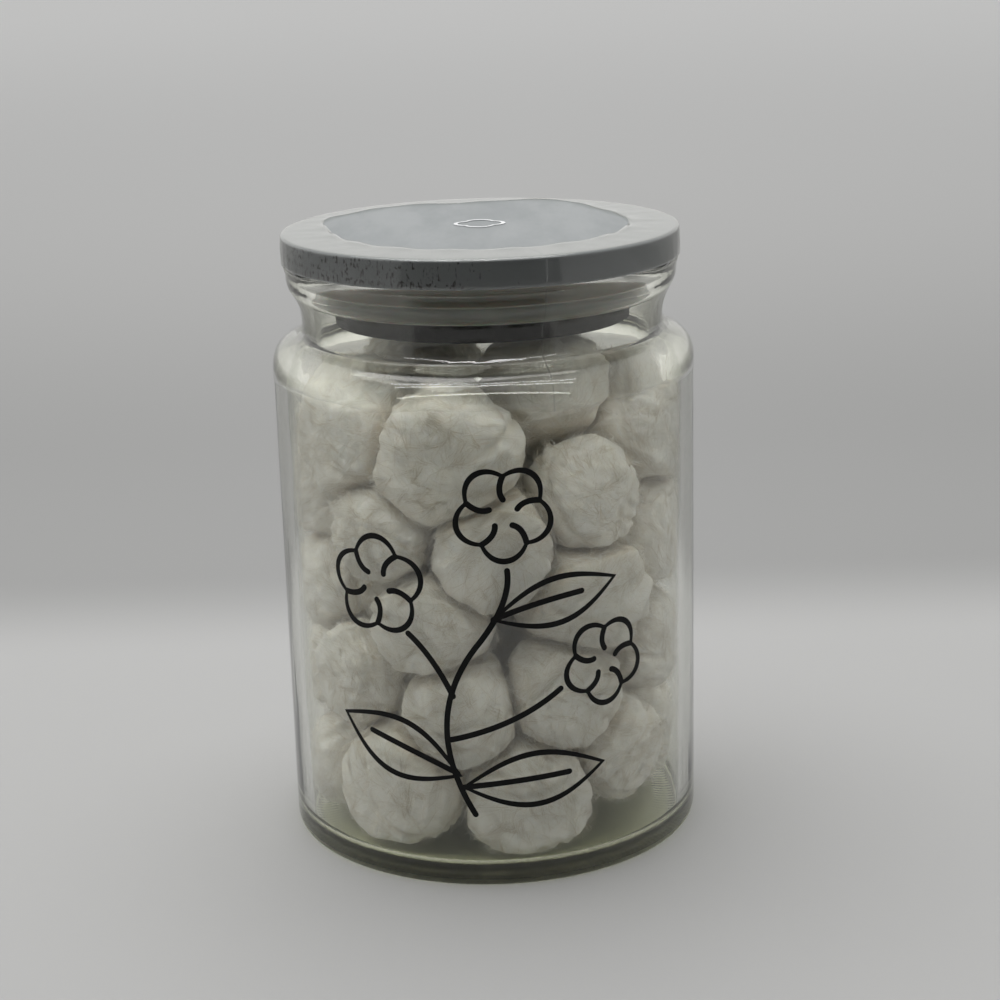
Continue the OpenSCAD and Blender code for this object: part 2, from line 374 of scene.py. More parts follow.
@dataclass(frozen=True)
class PaintFinish:
    """Satin grey paint on wood, with open pores showing as dark pits round one side, and painted light: the
    upward faces are a lighter copy of the paint, for the stronger light that falls on the top.
    """

    name: str
    colour: Colour = (0.14, 0.152, 0.158)
    pit: Colour = (0.012, 0.011, 0.010)
    pores: float = 1.0
    roughness: float = 0.36
    shine: float = 0.5
    # How much lighter the upward faces are painted: painted light on the top, over the same paint as the
    # side.
    painted_top_light_gain: float = 1.6

    def material(self) -> bpy.types.Material:
        """Returns the paint material."""
        material, g, out = new_material(self.name)
        at = g.add("ShaderNodeTexCoord").outputs["Object"]
        round_at, _ = g.around(at, 0.0486)
        normal = g.add("ShaderNodeNewGeometry").outputs["Normal"]
        upward = g.axes(normal)[2]
        side = g.maths("SUBTRACT", 1.0, g.span(g.maths("ABSOLUTE", upward), 0.25, 0.7))
        length = g.axes(round_at)[0]
        patch = g.noise(round_at, 55.0, 2.0)
        slope = g.span(length, -0.055, 0.035, 1.35, 0.16)
        fill = g.maths("ADD", slope, g.maths("MULTIPLY", g.maths("SUBTRACT", patch, 0.5), 0.9), clamp=True)
        amount = g.maths("MULTIPLY", fill, self.pores)
        pores = group_node(g, pores_group, {"At": round_at, "Amount": amount})
        pit = g.maths("MULTIPLY", pores.outputs["Pit"], side)
        dots = g.span(g.noise(at, 620.0, 1.0), 0.79, 0.83)
        dots = g.maths("MULTIPLY", dots, g.maths("SUBTRACT", 1.0, side))
        holes = g.maths("MAXIMUM", pit, g.maths("MULTIPLY", dots, 0.6))
        cloud = g.noise(g.stretched(at, (1.0, 0.25, 1.0)), 90.0, 4.0, 0.6)
        tone = g.maths("MULTIPLY", cloud, 0.5)
        # Painted light: the upward faces take a lighter copy of the paint, for the stronger light on the
        # top.
        wear_and_top_light = tuple(c * self.painted_top_light_gain for c in self.colour)
        dark_painted_top_light, dark = (tuple(c * 0.86 for c in paint) for paint in (wear_and_top_light, self.colour))
        base = g.blend(tone, g.blend(side, wear_and_top_light, self.colour), g.blend(side, dark_painted_top_light, dark))
        colour = g.blend(holes, base, self.pit)
        fine = g.noise(at, 2600.0, 2.0)
        relief = g.maths("SUBTRACT", g.maths("MULTIPLY", fine, 0.12), holes)
        bump = g.bump(0.5, 0.00025, relief)
        rough = g.span(cloud, 0.3, 0.7, self.roughness - 0.05, self.roughness + 0.07)
        paint = g.coat(
            {
                "Base Color": colour, "Roughness": rough, "IOR": 1.5, "Specular IOR Level": self.shine,
                "Normal": bump,
            }
        )
        g.put(out.inputs["Surface"], paint)
        return material


@dataclass(frozen=True)
class PlainFinish:
    """A finish of one stuff with a little cloudiness and grain: silicone, ink film or printed paint."""

    name: str
    colour: Colour
    second: Colour
    roughness: float
    grain: float = 900.0
    bump: float = 0.1
    soft: float = 0.0
    shine: float = 0.5

    def material(self) -> bpy.types.Material:
        """Returns the material."""
        material, g, out = new_material(self.name)
        at = g.add("ShaderNodeTexCoord").outputs["Object"]
        cloud = g.noise(at, self.grain * 0.2, 3.0)
        grain = g.noise(at, self.grain, 3.0)
        base = g.blend(g.span(cloud, 0.35, 0.65), self.colour, self.second)
        bump = g.bump(self.bump, 0.0003, grain)
        rough = g.span(grain, 0.3, 0.7, self.roughness - 0.04, self.roughness + 0.06)
        shader = g.coat(
            {
                "Base Color": base, "Roughness": rough, "Specular IOR Level": self.shine,
                "Subsurface Weight": self.soft, "Subsurface Scale": 0.002, "Normal": bump,
            }
        )
        g.put(out.inputs["Surface"], shader)
        return material


@dataclass(frozen=True)
class CottonFinish:
    """Soft cotton wool: faintly streaky off-white fibres, with painted shade that makes it warmer and darker
    in the creases.
    """

    light: Colour = (0.96, 0.95, 0.915)
    dull: Colour = (0.90, 0.88, 0.82)
    # The tan of the painted shade in the creases and the gaps between balls.
    crease: Colour = (0.72, 0.62, 0.47)
    fuzz: float = 0.35

    def material(self) -> bpy.types.Material:
        """Returns the cotton material."""
        material, g, out = new_material("cotton_wool")
        local = g.add("ShaderNodeAttribute", attribute_name="fibre_place").outputs["Vector"]
        fold = g.add("ShaderNodeAttribute", attribute_name="crease").outputs["Fac"]
        streaks = group_node(g, streaks_group, {"At": local, "Scale": 1.0, "Twist": 3.2})
        fine, broad = streaks.outputs["Fine"], streaks.outputs["Broad"]
        tone = g.maths("ADD", g.maths("MULTIPLY", fine, 0.45), g.maths("MULTIPLY", broad, 0.55))
        base = g.blend(g.span(tone, 0.32, 0.68), self.dull, self.light)
        # Painted shade: the creases turn towards the tan crease colour.
        colour = g.blend(g.maths("MULTIPLY", fold, 0.8), base, self.crease)
        relief = g.maths("ADD", g.maths("MULTIPLY", fine, 0.35), broad)
        bump = g.bump(0.5, 0.0012, relief)
        shader = g.coat(
            {
                "Base Color": colour, "Roughness": 1.0, "Specular IOR Level": 0.0,
                "Subsurface Weight": 0.35, "Subsurface Radius": (1.0, 0.9, 0.75),
                "Subsurface Scale": 0.004, "Sheen Weight": self.fuzz, "Sheen Roughness": 0.6,
                "Normal": bump,
            }
        )
        g.put(out.inputs["Surface"], shader)
        return material


@dataclass(frozen=True)
class WispFinish:
    """Single loose cotton fibres."""

    name: str
    colour: Colour

    def material(self) -> bpy.types.Material:
        """Returns the fibre material."""
        material, g, out = new_material(self.name)
        values = {"Base Color": self.colour, "Roughness": 1.0, "Specular IOR Level": 0.0}
        g.put(out.inputs["Surface"], g.coat(values))
        return material


WISP_FINISHES = (
    WispFinish("cotton_fibre_dull", (0.74, 0.69, 0.60)),
    WispFinish("cotton_fibre", (0.93, 0.91, 0.86)),
    WispFinish("cotton_fibre_bright", (0.98, 0.975, 0.95)),
)


@dataclass(frozen=True)
class FloorFinish:
    """Matt white board on a flat floor, with painted shade in a darker band behind the jar, painted light
    that makes it paler far behind where the lamp light is weaker, and painted shade in front for all rays
    but the camera's.
    """

    near: float = 0.47
    # The value in the band of painted shade behind the jar; the floor itself is flat.
    bend: float = 0.325
    far: float = 0.86
    front_shade: float = 0.03

    def material(self) -> bpy.types.Material:
        """Returns the floor material."""
        material, g, out = new_material("pale_board")
        at = g.add("ShaderNodeTexCoord").outputs["Object"]
        parts = g.axes(at)
        back = g.span(parts[1], 0.115, 0.20, self.near, self.bend)
        length = g.maths("LOGARITHM", g.maths("MAXIMUM", parts[1], 0.01), 10.0)
        # Painted light: paler far behind, where the lamp light is weaker.
        rise = g.span(length, -0.45, 0.65, 0.0, self.far - self.bend)
        pale = g.maths("ADD", back, rise)
        ahead = g.maths("SUBTRACT", g.maths("MULTIPLY", parts[1], -1.0), g.maths("ABSOLUTE", parts[0]))
        # Painted shade in front of the jar, seen in light and reflections but not by the camera's own rays.
        front_shade_mask = g.maths("MULTIPLY", g.span(parts[1], -0.32, -0.42), g.span(ahead, 0.0, 0.04))
        unseen = g.maths("SUBTRACT", 1.0, g.add("ShaderNodeLightPath").outputs["Is Camera Ray"])
        share = g.maths("MULTIPLY", front_shade_mask, unseen)
        value = g.add("ShaderNodeMix", {0: share, 2: pale, 3: self.front_shade}).outputs[0]
        colour = g.add("ShaderNodeCombineColor", {0: value, 1: value, 2: value}).outputs[0]
        grain = g.noise(at, 1400.0, 2.0)
        bump = g.bump(0.08, 0.0003, grain)
        board = {"Base Color": colour, "Roughness": 0.8, "Normal": bump}
        g.put(out.inputs["Surface"], g.coat(board))
        return material


# ---- mesh helpers


@dataclass(frozen=True)
class Corner:
    """A corner of a turned outline, in millimetres.

    Args:
        r: distance from the axis.
        z: height.
        rounding: length of each edge that the rounding takes up.
        steps: segments of the rounding.
    """

    r: float
    z: float
    rounding: float = 0.0
    steps: int = 6


def turned(corners: Sequence[Corner], closed: bool = False, steps: int = TURN_STEPS) -> bmesh.types.BMesh:
    """Turns an outline round the Z axis.

    Args:
        corners: the outline's corners in order.
        closed: whether the last corner joins the first.
        steps: segments of a full turn.

    Returns:
        The turned mesh, with normals outwards.
    """
    bm = bmesh.new()
    points = [bm.verts.new((c.r * MM, 0.0, c.z * MM)) for c in corners]
    after = points[1:] + points[:1] if closed else points[1:]
    for a, b in zip(points, after, strict=False):
        bm.edges.new((a, b))
    for point, corner in zip(points, corners, strict=True):
        if corner.rounding:
            bmesh.ops.bevel(
                bm,
                geom=[point],
                offset=corner.rounding * MM,
                offset_type="OFFSET",
                segments=corner.steps,
                profile=0.5,
                affect="VERTICES",
                material=-1,
            )
    bmesh.ops.spin(
        bm,
        geom=bm.verts[:] + bm.edges[:],
        cent=(0.0, 0.0, 0.0),
        axis=(0.0, 0.0, 1.0),
        angle=math.tau,
        steps=steps,
        use_merge=True,
    )
    bmesh.ops.remove_doubles(bm, verts=bm.verts, dist=1e-6)
    bmesh.ops.recalc_face_normals(bm, faces=bm.faces)
    return bm


def shown(
    name: str, bm: bmesh.types.BMesh, material: bpy.types.Material, body: Body
) -> bpy.types.Object:
    """Makes a smooth-shaded piece of a mesh and puts it on its body.

    Args:
        name: the piece's name.
        bm: its mesh, which is freed.
        material: its finish.
        body: the body it rides on.

    Returns:
        The piece's object.
    """
    mesh = bpy.data.meshes.new(name)
    bm.to_mesh(mesh)
    bm.free()
    mesh.shade_smooth()
    mesh.materials.append(material)
    piece = bpy.data.objects.new(name, mesh)
    bpy.context.scene.collection.objects.link(piece)
    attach(piece, body.value)
    return piece


def read_points(mesh: bpy.types.Mesh) -> np.ndarray:
    """Returns the places of a mesh's points, one row each."""
    flat = np.empty(len(mesh.vertices) * 3, np.float32)
    mesh.vertices.foreach_get("co", flat)
    return flat.reshape(-1, 3).astype(float)


def first_corners(mesh: bpy.types.Mesh) -> np.ndarray:
    """Returns the number of each face's first point."""
    starts = np.empty(len(mesh.polygons), np.int32)
    mesh.polygons.foreach_get("loop_start", starts)
    corners = np.empty(len(mesh.loops), np.int32)
    mesh.loops.foreach_get("vertex_index", corners)
    return corners[starts]


def keep_node(node: str, material: bpy.types.Material) -> None:
    """Gives a CAD node that stays a better material."""
    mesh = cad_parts[node].data
    mesh.materials.clear()
    mesh.materials.append(material)


# ---- glass jar


@dataclass
class GlassJar:
    """The pressed-glass jar with a thick foot, a rounded shoulder and a beaded rim. Sizes in mm."""

    body_r: float = 52.0
    inner_r: float = 48.5
    neck_r: float = 44.2
    neck_inner_r: float = 41.2
    rim_z: float = 144.6
    bead_r: float = 47.6
    floor_z: float = 3.7
    punt: float = 1.2

    def outline(self) -> list[Corner]:
        """Returns the section from the axis under the foot, up outside and down inside to the axis."""
        return [
            Corner(0.0, self.punt + 0.3),
            Corner(41.0, self.punt, 1.6),
            Corner(43.6, 0.4, 1.0),
            Corner(47.5, 0.12, 0.8),
            Corner(49.6, 0.0, 0.8),
            Corner(self.body_r - 0.6, 0.15, 0.6, 5),
            Corner(self.body_r, 1.8, 0.9, 5),
            Corner(self.body_r, 124.3, 5.6, 12),
            Corner(self.neck_r, 126.5, 0.9),
            Corner(self.neck_r, 136.1, 0.5),
            Corner(self.bead_r, 136.9, 3.0, 10),
            Corner(self.bead_r, self.rim_z, 3.0, 10),
            Corner(self.neck_inner_r, self.rim_z, 1.2),
            Corner(self.neck_inner_r, 123.7, 1.2),
            Corner(self.inner_r, 120.6, 4.6, 10),
            Corner(self.inner_r, self.floor_z + 0.3, 3.2, 10),
            Corner(0.0, self.floor_z),
        ]

    def room_at(self, height: np.ndarray) -> np.ndarray:
        """Returns the inner radius at each height, in metres."""
        heights = np.array((4.0, 5.0, 7.2, 116.0, 119.0, 121.0, 122.8, 124.0, 131.0)) * MM
        radii = np.array((44.6, 46.8, 48.5, 48.5, 47.6, 45.6, 43.2, 41.2, 41.2)) * MM
        return np.interp(height, heights, radii)

    def build(self) -> bpy.types.Object:
        """Builds the jar and returns its object."""
        piece = shown("jar_glass", turned(self.outline()), GlassFinish().material(), Body.JAR)
        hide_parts("glass_jar")
        return piece


# ---- lid and seal


@dataclass
class WoodenLid:
    """The painted board and the stopper under it. Sizes in mm."""

    board_r: float = 48.6
    board_low: float = 144.65
    board_high: float = 151.65
    plug_r: float = 36.0
    plug_low: float = 130.15
    groove_r: float = 34.5

    def build(self) -> list[bpy.types.Object]:
        """Builds both pieces and returns them."""
        board = turned(
            [
                Corner(0.0, self.board_low),
                Corner(self.board_r, self.board_low, 0.6, 3),
                Corner(self.board_r, self.board_high, 0.8, 5),
                Corner(self.board_r - 2.4, self.board_high),
                Corner(0.0, self.board_high),
            ]
        )
        plug = turned(
            [
                Corner(0.0, self.plug_low),
                Corner(self.plug_r, self.plug_low, 0.7, 4),
                Corner(self.plug_r, 136.3, 0.2, 2),
                Corner(self.groove_r, 136.3),
                Corner(self.groove_r, 142.9),
                Corner(self.plug_r, 142.9, 0.2, 2),
                Corner(self.plug_r, self.board_low),
                Corner(0.0, self.board_low),
            ]
        )
        paint = PaintFinish("lid_paint").material()
        board_piece = shown("lid_board_wood", board, paint, Body.LID)
        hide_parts("lid_board")
        # The plug has the lid's grey paint, but its colour here is near black: painted shade for its place
        # under the lid.
        dark = (0.010, 0.0095, 0.008)
        finish = PaintFinish("plug_paint_in_painted_shade", colour=dark, pores=0.55, roughness=0.75, shine=0.06)
        plug_piece = shown("lid_plug_wood", plug, finish.material(), Body.LID)
        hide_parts("lid_plug")
        return [board_piece, plug_piece]


@dataclass
class SealRing:
    """The silicone ring with three soft lips. Sizes in mm."""

    inner_r: float = 34.55
    core_r: float = 37.5
    lip_r: float = 41.1
    low: float = 136.4
    lip_heights: tuple[float, ...] = (136.9, 139.1, 141.3)

    def build(self) -> bpy.types.Object:
        """Builds the ring and returns its object."""
        outline = [Corner(self.inner_r, self.low, 0.2, 2), Corner(self.core_r, self.low, 0.3, 2)]
        for z in self.lip_heights:
            outline += [
                Corner(self.core_r, z),
                Corner(self.lip_r, z + 0.45, 0.16, 3),
                Corner(self.lip_r, z + 0.8, 0.16, 3),
                Corner(self.core_r, z + 1.15, 0.3, 3),
            ]
        outline += [Corner(self.core_r, self.low + 6.4), Corner(self.inner_r, self.low + 6.4)]
        finish = PlainFinish("seal_silicone", (0.62, 0.63, 0.58), (0.54, 0.55, 0.50), 0.34, 700.0, 0.12, 0.4)
        piece = shown("seal_silicone", turned(outline, closed=True), finish.material(), Body.SEAL)
        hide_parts("seal_ring")
        return piece


# ---- shrink band


@dataclass
class ShrinkBand:
    """The clear film shrunk round the lid's edge, and down the bead, neck and shoulder. Sizes in mm."""

    lid_r: float = 48.6
    top_z: float = 151.75
    thickness: float = 0.06
    rows: int = 10
    opening_r: float = 36.1
    bulges: tuple[tuple[float, ...], ...] = ((67.0, 21.0, 8.6), (120.0, 20.0, 5.9), (154.0, 20.0, 5.6))

    def opening_at(self, angle: float) -> float:
        """Returns how far the opening reaches at an angle in radians, in mm.

        Each bulge has a place and a width in degrees, and a height in mm.
        """
        reach = self.opening_r + 0.4 * math.sin(angle + 0.6) + 0.05 * math.sin(angle * 9.0 + 1.0)
        for place, width, height in self.bulges:
            off = (math.degrees(angle) - place + 180.0) % 360.0 - 180.0
            reach += height * math.exp(-((off / width) ** 2))
        return reach

    def over_lid(self) -> bmesh.types.BMesh:
        """Returns the film on top of the lid, with its uneven opening, and down the lid's edge."""
        start, rim = 30.0, self.lid_r + 0.12
        pitch = (rim - 1.0 - start) / self.rows
        flat = [Corner(start + pitch * i, self.top_z) for i in range(self.rows + 1)]
        side = [
            Corner(rim - 0.02, self.top_z - 0.03, 0.7, 5),
            Corner(rim + 0.03, 148.2),
            Corner(rim, 145.6),
            Corner(rim - 0.05, 144.8),
        ]
        bm = turned(flat + side, steps=360)
        for vert in bm.verts:
            r = math.hypot(vert.co.x, vert.co.y) / MM
            angle = math.atan2(vert.co.y, vert.co.x)
            if vert.co.z / MM > self.top_z - 0.01 and r < rim - 0.5:
                share = (r - start) / (rim - 1.0 - start)
                edge = self.opening_at(angle)
                wide = edge + (rim - 1.0 - edge) * share
                curl = 0.22 * (1.0 - share) ** 6 * (1.0 + 0.6 * math.sin(angle * 17.0))
                wave = 2.0 + math.sin(angle * 23.0) + math.sin(angle * 41.0)
                ripple = 0.05 * share * (1.0 - share) * wave
                vert.co.x, vert.co.y = (wide * MM * math.cos(angle), wide * MM * math.sin(angle))
                vert.co.z += (curl + ripple) * MM
            elif vert.co.z / MM < self.top_z - 1.0:
                swell = 0.09 + 0.05 * math.sin(angle * 31.0 + vert.co.z * 900.0)
                swell += 0.04 * math.sin(angle * 67.0)
                factor = 1.0 + swell / r
                vert.co.x, vert.co.y = vert.co.x * factor, vert.co.y * factor
        return bm

    def down_neck(self) -> bmesh.types.BMesh:
        """Returns the film from just under the lid's edge to below the shoulder."""
        line = [
            Corner(48.45, 144.2),
            Corner(47.95, 142.4, 0.6, 3),
            Corner(47.80, 139.4, 1.4, 5),
            Corner(46.20, 136.8, 0.6, 3),
            Corner(44.75, 134.4, 1.2, 5),
            Corner(44.45, 131.0),
            Corner(44.45, 128.6, 0.8, 4),
            Corner(46.10, 126.5, 0.8, 4),
            Corner(49.10, 125.35, 0.8, 3),
            Corner(51.10, 123.55, 1.2, 5),
            Corner(52.10, 120.8, 1.2, 5),
            Corner(52.16, 117.4),
        ]
        bm = turned(line, steps=360)
        for vert in bm.verts:
            z = vert.co.z / MM
            angle = math.atan2(vert.co.y, vert.co.x)
            r = math.hypot(vert.co.x, vert.co.y) / MM
            bridge = math.exp(-(((z - 134.6) / 2.2) ** 2)) + 0.7 * math.exp(-(((z - 127.4) / 1.4) ** 2))
            crease = 0.5 + 0.5 * math.sin(angle * 19.0 + 2.0 * math.sin(angle * 5.0))
            pleat = max(0.0, math.sin(angle * 47.0 + 3.0 * math.sin(angle * 3.0))) ** 3
            hem = math.exp(-(((z - 117.4) / 1.2) ** 2)) * (0.5 + 0.5 * math.sin(angle * 11.0))
            out = bridge * (0.22 * crease + 0.16 * pleat) + 0.05 * hem
            out += 0.012 * (1.0 + math.sin(angle * 90.0))
            factor = 1.0 + out / r
            vert.co.x, vert.co.y = vert.co.x * factor, vert.co.y * factor
            if z < 118.0:
                vert.co.z += 0.5 * MM * math.sin(angle * 7.0 + 0.6) + 0.25 * MM * math.sin(angle * 16.0)
        return bm

    def build(self) -> list[bpy.types.Object]:
        """Builds both films and returns them."""
        lid_finish = FilmFinish("film_on_lid", 0.035, crinkle=0.12, gloss=0.10).material()
        neck_finish = FilmFinish("film_on_neck", 0.004, crinkle=0.4, gloss=0.035, mirror=0.045).material()
        pieces = []
        for name, bm, finish, body, node in (
            ("band_over_lid", self.over_lid(), lid_finish, Body.LID, "lid_film"),
            ("band_down_neck", self.down_neck(), neck_finish, Body.JAR, "neck_film"),
        ):
            piece = shown(name, bm, finish, body)
            skin = piece.modifiers.new("film_thickness", "SOLIDIFY")
            skin.thickness = self.thickness * MM
            skin.offset = 0.0
            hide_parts(node)
            pieces.append(piece)
        return pieces


# ---- cotton balls


@dataclass
class CottonBall:
    """One soft ball that is pressed flat where it meets its neighbours and the glass.

    Args:
        node: the CAD node it stands for.
        centre: its middle in metres.
        radius: its CAD radius in metres.
        seed: the seed of its own lumps, folds and fibres.
    """

    node: str
    centre: np.ndarray
    radius: float
    seed: int
    swell: float = 1.24
    top_swell: float = 1.45
    softness: float = 1.7 * MM
    fibre_rows: int = 3
    map_rows: int = 129
    locks: int = 450
    fluff: float = 3.0 * MM
    spare: float = 0.08 * MM
    clearance: float = 0.25 * MM
    roof: float = 129.6 * MM
    planes: list[tuple[np.ndarray, float]] = field(default_factory=list)

    def __post_init__(self) -> None:
        """Draws the ball's own proportions, lumps and folds."""
        rng = np.random.default_rng(self.seed)
        self.rng = rng
        self.turn = np.linalg.qr(rng.normal(size=(3, 3)))[0]
        self.shape = np.exp(rng.uniform(-0.09, 0.09, 3))
        waves = rng.normal(size=(60, 3))
        waves /= np.linalg.norm(waves, axis=1, keepdims=True)
        sizes = (rng.uniform(1.4, 3.0, 10), rng.uniform(2.2, 5.0, 20), rng.uniform(12.0, 34.0, 30))
        self.waves = waves * np.concatenate(sizes)[:, None]
        self.phases = rng.uniform(0.0, math.tau, 60)
        self.heights = rng.uniform(0.012, 0.028, 10)
        self.puffs = rng.uniform(0.008, 0.024, 20)
        self.tufts = rng.uniform(0.002, 0.0065, 30)
        self.fold_twist = rng.uniform(1.2, 2.6, 3) * rng.choice((-1.0, 1.0), 3)
        self.fold_start = rng.uniform(0.0, math.tau, 3)
        self.fold_depth = rng.uniform(0.4, 1.0, 3)
        self.outer = math.hypot(self.centre[0], self.centre[1]) > 20.0 * MM or self.centre[2] > 100.0 * MM

    def squeeze(self, others: Sequence["CottonBall"]) -> None:
        """Finds the flat faces where the ball presses on its neighbours."""
        for other in others:
            gap = other.centre - self.centre
            distance = float(np.linalg.norm(gap))
            if other is self or distance > (self.radius + other.radius) * self.top_swell * 1.1:
                continue
            mine = (distance**2 + self.radius**2 - other.radius**2) / (2.0 * distance)
            self.planes.append((gap / distance, mine - self.spare))

    def folds(self, ways: np.ndarray) -> np.ndarray:
        """Returns how deep in a rolled fold each direction is, from 0 to 1."""
        local = ways @ self.turn
        polar = np.arccos(np.clip(local[:, 2], -1.0, 1.0))
        azimuth = np.arctan2(local[:, 1], local[:, 0])
        depth = np.zeros(len(ways))
        for twist, start, share in zip(self.fold_twist, self.fold_start, self.fold_depth, strict=True):
            off = np.angle(np.exp(1j * (azimuth - twist * polar - start)))
            across = off * np.sin(polar) + 0.10 * np.sin(polar * 9.0 + start)
            depth = np.maximum(depth, share * np.sin(polar) ** 2 * np.exp(-((across / 0.15) ** 2)))
        return depth

    def free_reach(self, ways: np.ndarray) -> np.ndarray:
        """Returns the radius of the ball left alone, in metres."""
        slow = np.sin(ways @ self.waves[:10].T + self.phases[:10])
        lumps = (slow * self.heights).sum(1)
        warped = ways @ self.waves[10:].T + self.phases[10:] + 1.1 * slow[:, :1] + 0.8 * slow[:, 1:2]
        lumps += ((np.abs(np.sin(warped[:, :20])) - 0.64) * self.puffs).sum(1)
        lumps += (np.sin(warped[:, 20:] + 2.0 * slow[:, 2:3]) * self.tufts).sum(1)
        egg = 1.0 / np.linalg.norm((ways @ self.turn) / self.shape, axis=1)
        swell = np.interp(self.centre[2], (90.0 * MM, 104.0 * MM), (self.swell, self.top_swell))
        return self.radius * swell * egg * (1.0 + lumps - 0.10 * self.folds(ways))

    def pressed_reach(self, ways: np.ndarray, jar: GlassJar) -> np.ndarray:
        """Returns how far the ball may reach before it meets a neighbour or the jar, in metres."""
        reach = np.full(len(ways), self.radius * 1.8)
        for way, far in self.planes:
            toward = ways @ way
            reach = np.where(toward > 0.02, np.minimum(reach, far / np.maximum(toward, 0.02)), reach)
        low = np.zeros(len(ways))
        high = reach.copy()
        for _ in range(12):
            middle = (low + high) / 2.0
            at = self.centre + ways * middle[:, None]
            room = jar.room_at(at[:, 2]) - self.clearance
            inside = np.hypot(at[:, 0], at[:, 1]) < room
            inside &= (at[:, 2] > (jar.floor_z + 0.3) * MM) & (at[:, 2] < self.roof)
            low, high = np.where(inside, middle, low), np.where(inside, high, middle)
        return low

    def reach(self, ways: np.ndarray, jar: GlassJar) -> np.ndarray:
        """Returns the ball's final radius in each direction, in metres."""
        free, pressed = self.free_reach(ways), self.pressed_reach(ways, jar)
        low = np.minimum(free, pressed)
        return low - self.softness * np.log1p(np.exp(-np.abs(free - pressed) / self.softness))

    def mapped_reach(self, ways: np.ndarray, jar: GlassJar) -> np.ndarray:
        """Returns the ball's radius in many directions, read between the lines of a coarser map."""
        rows, columns = self.map_rows, 2 * self.map_rows
        polar, azimuth = np.meshgrid(
            np.linspace(0.0, math.pi, rows), np.linspace(-math.pi, math.pi, columns), indexing="ij"
        )
        sines = np.sin(polar)
        grid = np.stack((sines * np.cos(azimuth), sines * np.sin(azimuth), np.cos(polar)), axis=-1)
        known = self.reach(grid.reshape(-1, 3), jar).reshape(rows, columns)
        row = np.arccos(np.clip(ways[:, 2], -1.0, 1.0)) / math.pi * (rows - 1)
        column = (np.arctan2(ways[:, 1], ways[:, 0]) / math.tau + 0.5) * (columns - 1)
        top, left = np.minimum(row.astype(int), rows - 2), np.minimum(column.astype(int), columns - 2)
        down, right = row - top, column - left
        upper = known[top, left] * (1.0 - right) + known[top, left + 1] * right
        lower = known[top + 1, left] * (1.0 - right) + known[top + 1, left + 1] * right
        return upper * (1.0 - down) + lower * down

    def crease(self, places: np.ndarray, ways: np.ndarray) -> np.ndarray:
        """Returns how far each place is down a gap between two balls or in a fold, from 0 to 1, which sets
        the painted shade there.
        """
        near = np.zeros(len(places))
        for way, reach in self.planes:
            gap = reach - (places - self.centre) @ way
            near = np.maximum(near, np.exp(-np.maximum(gap, 0.0) / (1.3 * MM)))
        return np.clip(near + 0.35 * self.folds(ways), 0.0, 1.0)

    def skin(self, jar: GlassJar, material: bpy.types.Material) -> bpy.types.Object:
        """Builds the ball itself and returns its object."""
        bm = bmesh.new()
        bmesh.ops.create_icosphere(bm, subdivisions=6 if self.outer else 4, radius=1.0)
        piece = shown("cotton_" + self.node[-2:], bm, material, Body.JAR)
        mesh = piece.data
        ways = read_points(mesh)
        ways /= np.linalg.norm(ways, axis=1, keepdims=True)
        places = self.centre + ways * self.reach(ways, jar)[:, None]
        mesh.vertices.foreach_set("co", places.astype(np.float32).ravel())
        # The crease attribute carries painted shade into the cotton's colour.
        fold = mesh.attributes.new("crease", "FLOAT", "POINT")
        fold.data.foreach_set("value", self.crease(places, ways).astype(np.float32))
        local = ((places - self.centre) @ self.turn) / (10.0 * MM) + self.seed * 3.7
        place = mesh.attributes.new("fibre_place", "FLOAT_VECTOR", "POINT")
        place.data.foreach_set("vector", local.astype(np.float32).ravel())
        mesh.update()
        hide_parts(self.node)
        return piece

    def wisps(self, jar: GlassJar, materials: Sequence[bpy.types.Material]) -> bpy.types.Object:
        """Builds the ball's loose fibres, each a narrow ribbon, and returns their object.

        Args:
            jar: the jar that holds the ball.
            materials: the finishes of dull, middling and bright fibres.
        """
        count = 6600 if self.outer else 1000
        bm = bmesh.new()
        bmesh.ops.create_grid(bm, x_segments=2 * count - 1, y_segments=self.fibre_rows - 1, size=1.0)
        pitch = 2.0 / (2 * count - 1)
        gaps = [f for f in bm.faces if int((f.calc_center_median().x + 1.0) / pitch) % 2 == 1]
        bmesh.ops.delete(bm, geom=gaps, context="FACES")
        piece = shown("cotton_wisps_" + self.node[-2:], bm, materials[0], Body.JAR)
        grid = read_points(piece.data)
        column = np.rint((grid[:, 0] + 1.0) / 2.0 * (2 * count - 1)).astype(int)
        along = (grid[:, 1] + 1.0) / 2.0
        number, side = column // 2, column % 2
        rng = self.rng
        held = rng.random(count) < 0.7
        lock = np.where(held, rng.integers(0, self.locks, count), rng.integers(0, count, count))
        start = rng.normal(size=(count, 3))
        start /= np.linalg.norm(start, axis=1, keepdims=True)
        flow = np.cross(start, self.turn[:, 2]) + 0.6 * rng.normal(size=(count, 3))
        lift, tone = rng.random(count) ** 1.6, rng.random(count)
        flow = flow[lock] + 0.06 * rng.normal(size=(count, 3))
        start = start[lock] + 0.018 * rng.normal(size=(count, 3))
        start += flow * rng.uniform(-0.12, 0.12, (count, 1))
        start /= np.linalg.norm(start, axis=1, keepdims=True)
        flow -= start * (flow * start).sum(1, keepdims=True)
        flow /= np.linalg.norm(flow, axis=1, keepdims=True)
        across = np.cross(start, flow)
        length = rng.uniform(0.20, 0.50, count)
        curl = rng.uniform(-0.12, 0.12, count) + rng.uniform(-0.3, 0.3, count)[lock]
        lift = lift[lock] * rng.uniform(0.2, 1.0, count) * self.fluff
        width = rng.uniform(0.024, 0.046, count) * MM
        shade = np.digitize(0.8 * tone[lock] + 0.2 * rng.random(count), (0.38, 0.66))
        ways = start[number] + flow[number] * (length[number] * along)[:, None]
        ways += across[number] * (curl[number] * along**2)[:, None]
